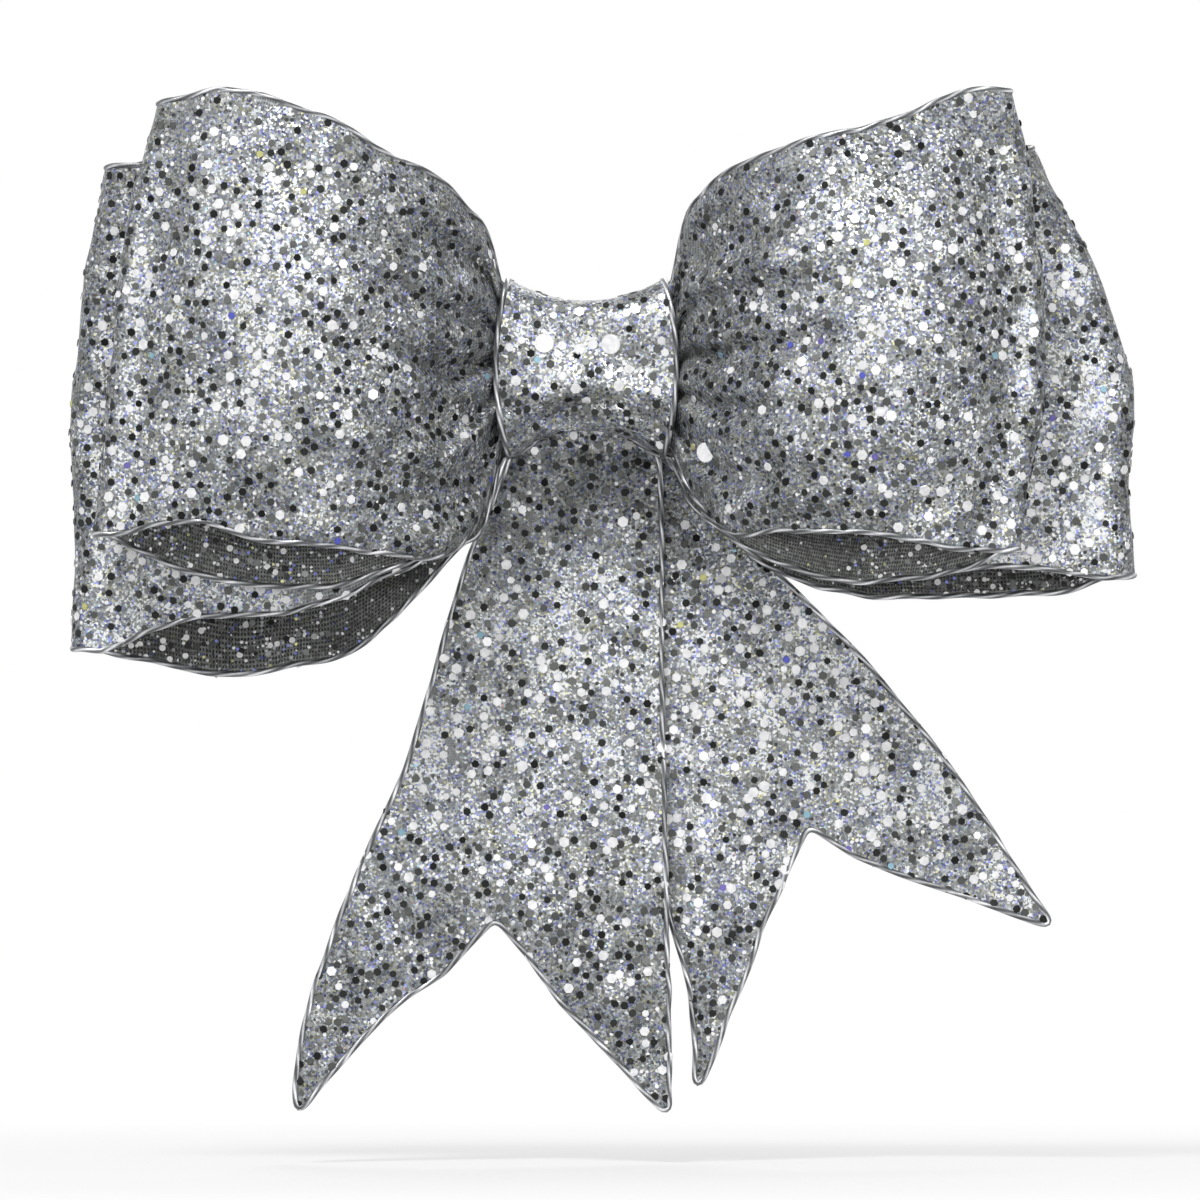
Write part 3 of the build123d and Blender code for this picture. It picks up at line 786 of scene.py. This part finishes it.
def worn_at_knot(spot):
    """Bare of flakes towards the knot, up to a limit that wavers."""
    return abs(spot.x) < (31 + 16 * noise.noise(spot / (9 * MM))) * MM


back_loops, back_shape = strip_piece("back_loops", back_pair, back_glitter)
back_top_edge = loop_edging("back_loops_top_edging", back_pair, 1)
back_bottom_edge = loop_edging("back_loops_bottom_edging", back_pair, -1)
back_dice = random.Random(23)
back_places = scattered(back_shape, 0.1, back_dice, worn_at_knot)
back_flakes = flake_piece("back_loops_flakes", back_places, back_dice)
for piece in (back_loops, back_top_edge, back_bottom_edge, back_flakes):
    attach(piece, "knot")
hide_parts("back_loop_ribbon")
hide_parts("back_loop_top_wire")
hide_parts("back_loop_bottom_wire")

# ------------------------------ Knot band
# A short length of narrower wired ribbon wrapped once round the gathers and drawn in at its middle.
# It starts on the ring's back, goes over the top and round the front, and its end laps over the tails.
band_waist_top, band_waist_bottom = 14.0, -14.9
band_rim_top, band_rim_bottom = 18.6, -20.6
band_waist_front, band_rim_front = -26.4, -28.6
band_corner_power = 4
ring_back, ring_inset = -6.1, 0.4
crease_front = -18
flap_half_width, flap_half_height = 15, 11.5
flap_top_depth, flap_depth = -2.6, -0.4
flap_top_share, flap_bend_share = 0.14, 0.22
band_start = 0.45
band_turn = 2 * math.pi + 0.35
flap_length = 29.0
ring_length = 92.0
band_cloth_width = 39.0


def band_half_at(z):
    """Half the band's width at a height: its wired edges bow outwards at mid height."""
    return 16.6 + 2.9 * max(0, 1 - ((z + 1) / 20) ** 2)


def ring_spot(turn, w, inset):
    """A spot of the ring, a rounded box seen from its side, wider at its rims than at its waist."""
    share = w * w
    top = band_waist_top + (band_rim_top - band_waist_top) * share - inset
    bottom = band_waist_bottom + (band_rim_bottom - band_waist_bottom) * share + inset
    front = band_waist_front + (band_rim_front - band_waist_front) * share + inset
    back = ring_back - inset
    blunt = 2 / band_corner_power
    across_share = math.copysign(abs(math.cos(turn)) ** blunt, math.cos(turn))
    up_share = math.copysign(abs(math.sin(turn)) ** blunt, math.sin(turn))
    y = (back + front) / 2 + (back - front) / 2 * across_share
    z = (top + bottom) / 2 + (top - bottom) / 2 * up_share
    return Vector((w * band_half_at(z if across_share < 0 else 19), y, z))


def band_spot(u, w):
    """A spot of the band: u runs from its hidden start round the ring to the flap's free end."""
    run = (u + 1) / 2 * (ring_length + flap_length)
    if run <= ring_length:
        turn = band_start + band_turn * run / ring_length
        under_itself = 0.8 * max(0, 1 - run / 30)
        spot = ring_spot(turn, w, ring_inset + under_itself)
        if spot.y < crease_front:
            crease_height = -8.2 - 0.028 * (spot.x - 0.5) ** 2 + 0.05 * spot.x
            above = spot.z - crease_height
            crease = 1.7 * math.exp(-((above / 1.5) ** 2)) * (1 - 0.5 * w * w)
            swelling = 0.8 * math.exp(-(((above - 4) / 3.2) ** 2))
            spot.y += crease
            spot.y -= swelling
            spot.y += 0.5 * math.sin(2.2 * w + spot.z * 0.35)
    else:
        share = (run - ring_length) / flap_length
        start = ring_spot(band_start + band_turn, w, ring_inset)
        top = Vector((flap_half_width * w, flap_top_depth, flap_half_height - 0.4))
        bend = Vector((flap_half_width * w, flap_depth, flap_half_height - 1.2))
        free = Vector((flap_half_width * w, flap_depth, -flap_half_height))
        if share < flap_top_share:
            spot = start.lerp(top, share / flap_top_share)
        elif share < flap_bend_share:
            spot = top.lerp(bend, (share - flap_top_share) / 0.08)
        else:
            spot = bend.lerp(free, (share - flap_bend_share) / 0.78)
    return spot * MM


def band_shade(spot):
    """The band is in full light down to where it turns under."""
    return 1.0 if spot.z > -7 * MM else -0.3


band, band_shape = ribbon_piece(
    "band", band_spot, ring_length + flap_length, band_cloth_width, 220, 40, faces_forward, glitter,
    shade_at=band_shade,
)


def band_edging(name, w):
    """The wired edge of the ring, which stops short of the ring's hidden start and of the flap."""
    count = 150
    first = -0.95
    last = ring_length / (ring_length + flap_length) * 2 * 0.93 - 1
    runs = [first + (last - first) * i / count for i in range(count + 1)]
    return edging_piece(name, [band_spot(run, w) for run in runs])


band_left_edge = band_edging("band_left_edging", -1)
band_right_edge = band_edging("band_right_edging", 1)


def not_in_front(spot):
    return spot.y > -8 * MM


band_dice = random.Random(5)
band_places = scattered(band_shape, 0.09, band_dice, not_in_front)
for x, z, radius in (
    (-9.3, 4.1, sequin_radius), (5.4, 3.5, sequin_radius), (-1.7, 2.8, 1.25), (1.6, 3.9, 1.1),
):
    band_places.append((*seat_on(band_shape, x, z), radius, sequin_corners, 1.0))
band_flakes = flake_piece("band_flakes", band_places, band_dice)
for piece in (band, band_left_edge, band_right_edge, band_flakes):
    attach(piece, "knot")
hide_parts("knot_band")
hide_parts("band_left_wire")
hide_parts("band_right_wire")

# ------------------------------ Tails
# Two flat lengths of the same ribbon, each cut with a V at its end and edged with covered wire all round.
# They hang from under the flap, the left one over the right one, and curl forward a little as they fall.
# A tail's area is what its ribbon has left after the cuts, in square metres.
tail_neck_radius = 11.0
tail_neck_mid = -6.5
tail_curl_start = -20.0
tail_curl_span = 145.0
tail_loose_run = 110
tail_cut_length, tail_cut_width = 165, 75
tip_radius = 0.9
neck_left = (-tail_neck_radius, tail_neck_mid)
neck_right = (tail_neck_radius, tail_neck_mid)
tails = {
    "left_tail": {
        "side": -1, "depth": -4.7, "curl": 9.0, "seed": 31, "area": 0.00726,
        "outer_edge": [
            neck_left, (-16.6, -20.5), (-21.5, -33), (-25.5, -42), (-29.8, -56),
            (-34.2, -72), (-39.1, -88), (-46.1, -103), (-52.7, -118), (-58.5, -134), (-62.6, -150),
        ],
        "outer_tip": (-63.2, -164),
        "outer_cut": [(-52, -150), (-43.5, -141.5), (-38, -137), (-31, -132.5)],
        "notch": (-20, -120.4),
        "inner_cut": [(-12.5, -128.8), (-5.8, -138.4), (4.3, -149)],
        "inner_tip": (18.2, -164),
        "inner_edge": [
            (17.9, -146), (17.3, -116), (16.8, -90), (16.3, -62), (16.4, -38), (16, -22), neck_right,
        ],
    },
    "right_tail": {
        "side": 1, "depth": -2.9, "curl": 3.0, "seed": 47, "area": 0.00626,
        "outer_edge": [
            neck_right, (17, -20.5), (27, -31), (38, -42), (52, -56), (60.7, -64.8), (67.7, -73.4),
            (74.8, -82), (81, -90.6), (86.7, -99.3), (92.2, -108),
        ],
        "outer_tip": (102.2, -123.2),
        "outer_cut": [(81.4, -115.5), (68.7, -111.2), (58, -106.8)],
        "notch": (48.2, -100.3),
        "inner_cut": [(43, -112), (40.3, -118), (36, -129.2), (30.7, -142)],
        "inner_tip": (23.5, -161.2),
        "inner_edge": [
            (23.6, -145), (22.4, -135), (18.6, -122), (14, -100),
            (6, -75), (-3, -50), (-10, -30), neck_left,
        ],
    },
}


def rounded_corner(before, corner, after, steps=4):
    """Points of the arc that rounds a corner of an outline, from its first side to its second."""
    arrive = (Vector(before) - Vector(corner)).normalized()
    leave = (Vector(after) - Vector(corner)).normalized()
    half_angle = arrive.angle(leave) / 2
    middle = Vector(corner) + (arrive + leave).normalized() * (tip_radius / math.sin(half_angle))
    start = Vector(corner) + arrive * (tip_radius / math.tan(half_angle)) - middle
    sweep = (math.pi - 2 * half_angle) * (1 if arrive.cross(leave) < 0 else -1)
    return [middle + Matrix.Rotation(sweep * i / steps, 2) @ start for i in range(steps + 1)]


def tail_sides(tail):
    """A tail's wired edges, which meet in the middle of its rounded tips: outer, cut, inner."""
    tip = rounded_corner(tail["outer_edge"][-1], tail["outer_tip"], tail["outer_cut"][0])
    notch = rounded_corner(tail["outer_cut"][-1], tail["notch"], tail["inner_cut"][0])
    inner_tip = rounded_corner(tail["inner_cut"][-1], tail["inner_tip"], tail["inner_edge"][0])
    outer = tail["outer_edge"] + tip[:3]
    cut = tip[2:] + tail["outer_cut"] + notch + tail["inner_cut"] + inner_tip[:3]
    inner = (inner_tip[2:] + tail["inner_edge"])[::-1]
    return outer, cut, inner


def along_line(corners, share):
    """The spot a share of the way along a run of points, counted by length."""
    spots = [Vector(corner) for corner in corners]
    steps = [(b - a).length for a, b in zip(spots, spots[1:])]
    left_over = share * sum(steps)
    for a, b, step in zip(spots, spots[1:], steps):
        if left_over <= step:
            return a.lerp(b, left_over / step)
        left_over -= step
    return spots[-1]


def tail_spot(tail, down, w):
    """A spot of a tail: down from 0 at its neck to 1 at its cut end, w from outer side to inner."""
    across = (w + 1) / 2
    outer, cut, inner = tail["sides"]
    neck = Vector((-tail["side"] * tail_neck_radius * w, tail_neck_mid))
    corners = (
        Vector(outer[0]) * (1 - across) * (1 - down) + Vector(inner[0]) * across * (1 - down)
        + Vector(outer[-1]) * (1 - across) * down + Vector(inner[-1]) * across * down
    )
    flat = along_line(outer, down) * (1 - across) + along_line(inner, down) * across
    flat += neck * (1 - down) + along_line(cut, across) * down - corners
    rounded_neck = 9 * (1 - w * w) ** 0.5 * max(0, 1 - down / 0.12) ** 2
    flat += Vector((0, rounded_neck))
    hang = max(0, tail_curl_start - flat.y)
    y = tail["depth"] - tail["curl"] * (hang / tail_curl_span) ** 2
    loose = min(1, hang / tail_loose_run)
    spot = Vector((flat.x, y, flat.y))
    spot.y += (0.15 + 1.5 * loose) * noise.noise(Vector((flat.x / 22, tail["seed"], flat.y / 30)))
    spot.y += 0.22 * math.cos(4.5 * math.pi * w + 1) * max(0, 1 - hang / 60)
    edge = max(0, (abs(w) - 0.85) / 0.15) ** 2 * loose
    spot.y += edge * 0.9 * noise.noise(Vector((flat.y / 8, tail["seed"] + w, 3)))
    ragged = max(edge, max(0, (down - 0.9) / 0.1) ** 2) * min(1, hang / 30)
    spot.x += ragged * 0.55 * noise.noise(Vector((flat.y / 7, w, tail["seed"])))
    return spot * MM


def tail_edge_spots(tail):
    """The wired edge: down the first side, round the cut and up the second side."""
    start = 0.06
    side_steps = 150
    cut_steps = 110
    spots = [tail_spot(tail, start + (1 - start) * i / side_steps, -1) for i in range(side_steps)]
    spots += [tail_spot(tail, 1, -1 + 2 * i / cut_steps) for i in range(cut_steps)]
    spots += [tail_spot(tail, 1 - (1 - start) * i / side_steps, 1) for i in range(side_steps + 1)]
    for _ in range(3):
        between_neighbours = [
            spots[i - 1] * 0.25 + spots[i] * 0.5 + spots[i + 1] * 0.25 for i in range(1, len(spots) - 1)
        ]
        spots = [spots[0], *between_neighbours, spots[-1]]
    return spots


def mostly_forward(bm):
    return sum(face.normal.y for face in bm.faces) < 0


def under_flap(spot):
    return spot.z > -14 * MM


for name, tail in tails.items():
    tail["sides"] = tail_sides(tail)
    sheet, shape = ribbon_piece(
        name + "_net", lambda u, w, tail=tail: tail_spot(tail, (u + 1) / 2, w),
        tail_cut_length, tail_cut_width, 130, 60, mostly_forward, glitter, shade_at=tail_shade,
    )
    edge = edging_piece(name + "_edging", tail_edge_spots(tail))
    dice = random.Random(tail["seed"])
    flakes = flake_piece(name + "_flakes", scattered(shape, 0.115, dice, under_flap), dice)
    for piece in (sheet, edge, flakes):
        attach(piece, name)
    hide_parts(name)
    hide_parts(name + "_wire")

# ------------------------------ Cinch wire, glue and twist tie
# The kept parts behind the knot: bare steel wire round the gathers, set hot-melt glue under the flap,
# and a strip of silver-grey plastic over a wire core, whose legs tie the bow on.
steel, start, feed, cloud = clouded_finish(
    "steel_wire", 900.0, (0.3, (0.42, 0.42, 0.44)), (0.7, (0.68, 0.68, 0.7)), roughness=0.35, metallic=1.0
)
feed(Roughness=0.25 + cloud * 0.25)

glue, start, feed, cloud = clouded_finish(
    "clear_glue", 240.0, (0.35, (0.62, 0.6, 0.54)), (0.65, (0.82, 0.81, 0.77)), detail=3.0, roughness=0.25
)
feed(Normal=(cloud * 0.0003).relief(0.5))

tie_plastic, start, feed = finish_of("tie_plastic", roughness=0.3)
place = start.node("TexCoord", out=3)
height = start.node("SeparateXYZ", {0: place}, out=2)
ridge = (height.math("ABSOLUTE") * 1000 * -2.2).math("EXPONENT")
scuffs = place.clouds(500.0, Detail=4.0)
tone = (scuffs * 0.6 + ridge * 0.4).ramp([
    (0.25, (0.45, 0.46, 0.48)), (0.5, (0.62, 0.63, 0.65)), (0.8, (0.82, 0.82, 0.85)),
])
bump = (ridge * 0.0004 + scuffs * 0.00005).relief(0.8)
feed(Base_Color=tone, Roughness=0.22 + scuffs * 0.25, Normal=bump)

for node, material in (
    ("cinch_wire", steel), ("band_glue", glue), ("tie_bridge", tie_plastic),
    ("tie_leg_left", tie_plastic), ("tie_leg_right", tie_plastic),
):
    kept = bpy.data.objects[node]
    if kept.material_slots:
        for slot in kept.material_slots:
            slot.material = material
    else:
        kept.data.materials.append(material)

# ------------------------------ Floor, light and camera
# A pale floor low enough for the tails' tips to clear it when they swing, a soft key from the upper
# left, a fill and a bright room.
swing_clearance = 0.011
lowest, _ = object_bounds()
on_floor = Matrix.Translation((0, 0, lowest[2] - swing_clearance))
bm = bmesh.new()
bmesh.ops.create_grid(bm, x_segments=1, y_segments=1, size=3.0, matrix=on_floor)
floor_mesh = bpy.data.meshes.new("floor")
bm.to_mesh(floor_mesh)
bm.free()
floor = linked("floor", floor_mesh)
pale, start, *_ = clouded_finish(
    "pale_floor", 3.0, (0.3, (0.85, 0.85, 0.85)), (0.7, (0.88, 0.88, 0.88)), roughness=0.9
)
tree = pale.node_tree
camera_ray, glossy_ray = start.node("LightPath").outputs("Is Camera Ray", "Is Glossy Ray")
shown = camera_ray.math("MAXIMUM", glossy_ray)
away = start.node("VectorMath", {0: start.node("TexCoord", out=3)}, out=1, operation="LENGTH")
far = (away * 2.0).ramp([(0.2, (0.45, 0.45, 0.45)), (0.75, (1, 1, 1))])
glow = start.node("Emission", {"Color": (1, 1, 1, 1), "Strength": 1.0})
lit = Shade(tree, tree.nodes["Principled BSDF"].outputs[0])
mixed = start.node("MixShader", {0: shown * far, 1: lit, 2: glow})
tree.links.new(mixed.socket, tree.nodes["Material Output"].inputs["Surface"])
floor_mesh.materials.append(pale)

world = bpy.data.worlds.new("room")
bpy.context.scene.world = world
world.use_nodes = True
tree = world.node_tree
camera_ray, glossy_ray, clear_ray = Shade(tree).node("LightPath").outputs(
    "Is Camera Ray", "Is Glossy Ray", "Is Transmission Ray"
)
shown = camera_ray.math("MAXIMUM", glossy_ray.math("MAXIMUM", clear_ray))
tree.nodes["Background"].inputs["Color"].default_value = (1, 1, 1, 1)
tree.links.new((0.3 + shown * 0.7).socket, tree.nodes["Background"].inputs["Strength"])


def soft_light(name, place, size, power):
    """A round soft lamp that faces the bow's middle."""
    lamp = bpy.data.lights.new(name, "AREA")
    lamp.shape, lamp.size, lamp.energy = "DISK", size, power
    holder = linked(name, lamp)
    holder.location = place
    holder.rotation_euler = (Vector(place) - Vector((0, 0, -0.05))).to_track_quat("Z", "Y").to_euler()


soft_light("key", (-0.45, -1.1, 1.35), 0.5, 19)
soft_light("fill", (0.8, -1.6, 0.1), 0.8, 5)
soft_light("rim", (0.2, 1.2, 0.9), 0.6, 6)

camera_data = bpy.data.cameras.new("front_camera")
camera_data.lens = 600
camera_data.sensor_width = 36
camera_data.clip_end = 100
camera = linked("front_camera", camera_data)
view_width = 0.2592
view_centre = (0.003, -0.03, -0.0514)
distance = view_width * camera_data.lens / camera_data.sensor_width
camera.location = (view_centre[0], view_centre[1] - distance, view_centre[2])
camera.rotation_euler = (math.pi / 2, 0, 0)
bpy.context.scene.camera = camera
bpy.context.scene.view_settings.view_transform = "Standard"
